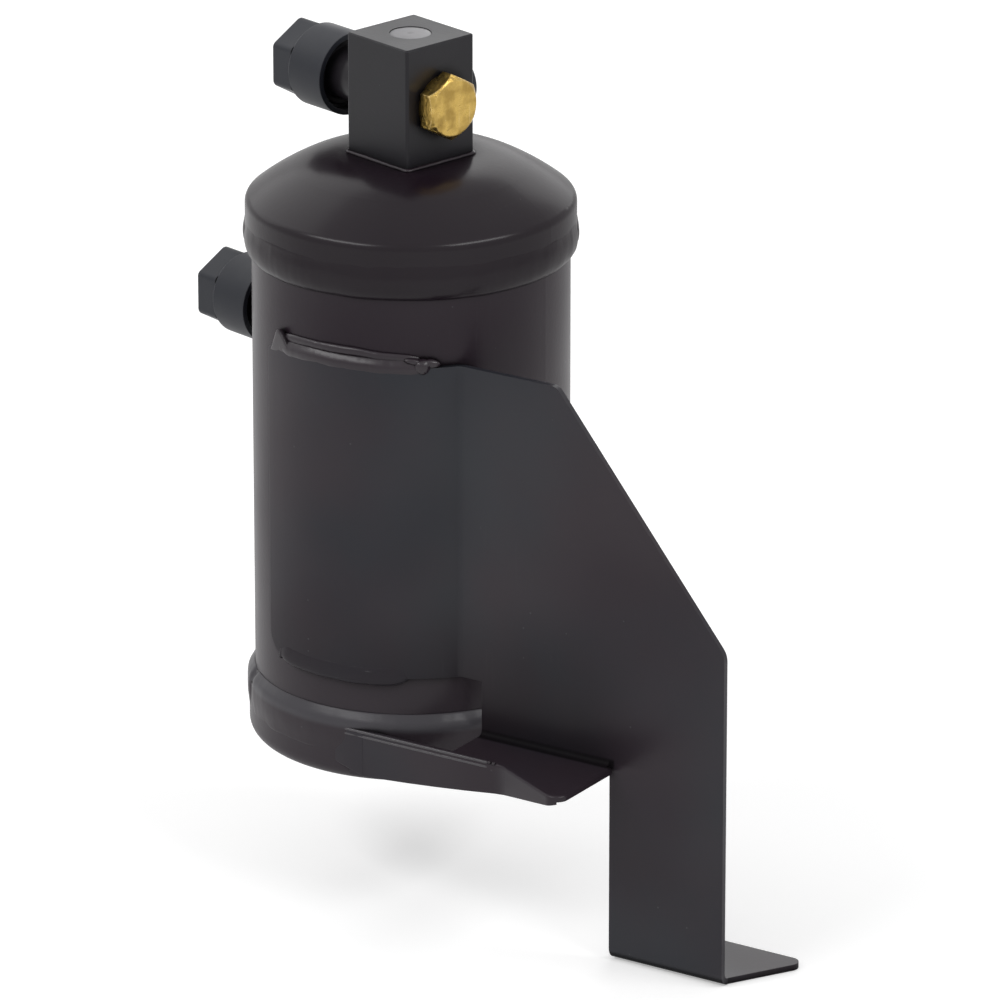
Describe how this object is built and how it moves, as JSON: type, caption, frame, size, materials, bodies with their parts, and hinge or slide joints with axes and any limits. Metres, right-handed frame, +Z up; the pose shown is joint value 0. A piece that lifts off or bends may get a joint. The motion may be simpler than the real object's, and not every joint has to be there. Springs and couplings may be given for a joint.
{
  "type": "receiver drier",
  "caption": "Upright welded can with a square head block, capped side pipe fittings, a brass plug and a folded sheet bracket with a shelf and a foot.",
  "frame": {"origin": "middle of the fixing hole at the underside of the bracket's foot", "axes": "+Z up along the can, +X along the bracket's flat plate away from the can, +Y behind that plate"},
  "size_m": [0.1817, 0.0894, 0.2121],
  "materials": {
    "black_paint": "satin",
    "cap_plastic": "matt",
    "brass": "worn",
    "fitting_steel": "turned",
    "glass": "clear",
    "rubber": "matt",
    "plain_steel": "plain",
    "felt": "felt",
    "desiccant": "beads"
  },
  "bodies": {
    "root": {"shell_tube": "black_paint", "top_cap": "black_paint", "bottom_cap": "black_paint", "upper_girth_weld": "black_paint", "lower_girth_weld": "black_paint", "head_block": "black_paint", "head_block_weld": "black_paint", "sight_glass": "glass", "sight_glass_seal": "rubber", "outlet_fitting": "fitting_steel", "outlet_cap": "cap_plastic", "inlet_fitting": "fitting_steel", "inlet_cap": "cap_plastic", "inlet_weld": "black_paint", "brass_plug": "brass", "switch_plug": "cap_plastic", "switch_seal": "rubber", "pickup_tube": "plain_steel", "pickup_strainer": "plain_steel", "lower_plate": "plain_steel", "lower_pad": "felt", "desiccant_bed": "desiccant", "upper_pad": "felt", "upper_plate": "plain_steel", "hold_down_spring": "plain_steel", "bracket": "black_paint", "saddle_upper_weld": "black_paint", "saddle_lower_weld": "black_paint", "shelf_weld": "black_paint"}
  },
  "joints": []
}
